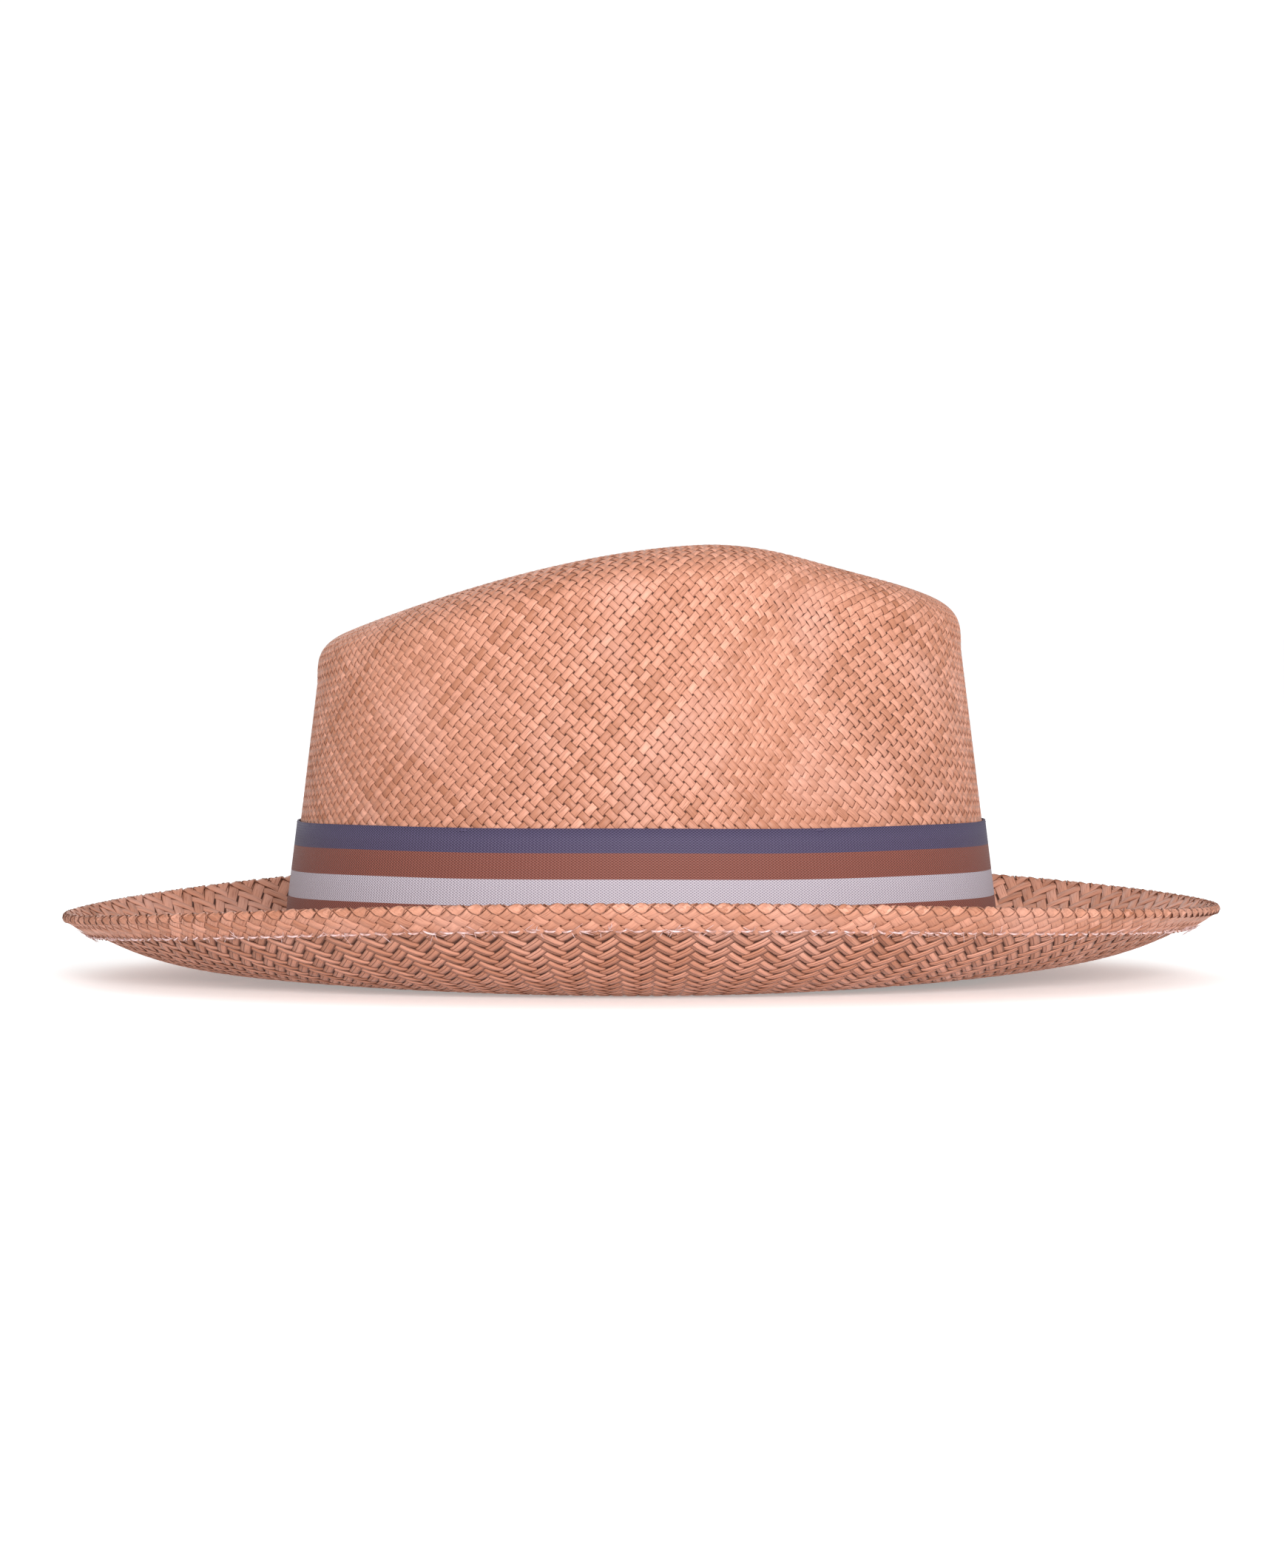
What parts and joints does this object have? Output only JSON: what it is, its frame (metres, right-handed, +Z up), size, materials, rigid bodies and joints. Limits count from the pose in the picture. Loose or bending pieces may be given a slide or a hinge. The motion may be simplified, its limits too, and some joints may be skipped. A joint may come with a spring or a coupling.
{
  "type": "straw fedora hat",
  "caption": "Plaited straw fedora with a teardrop crown, curled brim with a folded hem, striped band with a side bow, and leather sweatband.",
  "frame": {"origin": "centre of the bounding box, on the table that the brim rests on", "axes": "+X towards the front of the hat, +Y towards the wearer's left, +Z up"},
  "size_m": [0.3368, 0.2912, 0.1258],
  "materials": {
    "straw": "plaited toquilla-type straw, terracotta rose dye, satin",
    "clear_thread": "translucent pinkish sewing thread",
    "striped_ribbon": "woven ribbon with navy, rust and silver-cream stripes",
    "navy_thread": "matt sewing thread",
    "sweatband_leather": "smooth tan leather",
    "reed": "plain",
    "cotton_tape": "plain woven cotton tape",
    "tan_thread": "matt sewing thread",
    "rear_ribbon": "narrow rust grosgrain ribbon",
    "tab_cloth": "plain woven tab, blank"
  },
  "bodies": {
    "root": {"straw_body": "straw", "hem_thread": "clear_thread", "hat_band": "striped_ribbon", "band_tacks": "navy_thread", "bow_loops": "striped_ribbon", "bow_knot": "striped_ribbon", "bow_tail": "striped_ribbon", "sweatband": "sweatband_leather", "sweatband_reed": "reed", "reed_tape": "cotton_tape", "attachment_thread": "tan_thread", "edge_thread": "tan_thread", "joint_cover": "sweatband_leather", "rear_bow": "rear_ribbon", "size_tab": "tab_cloth"}
  },
  "joints": []
}
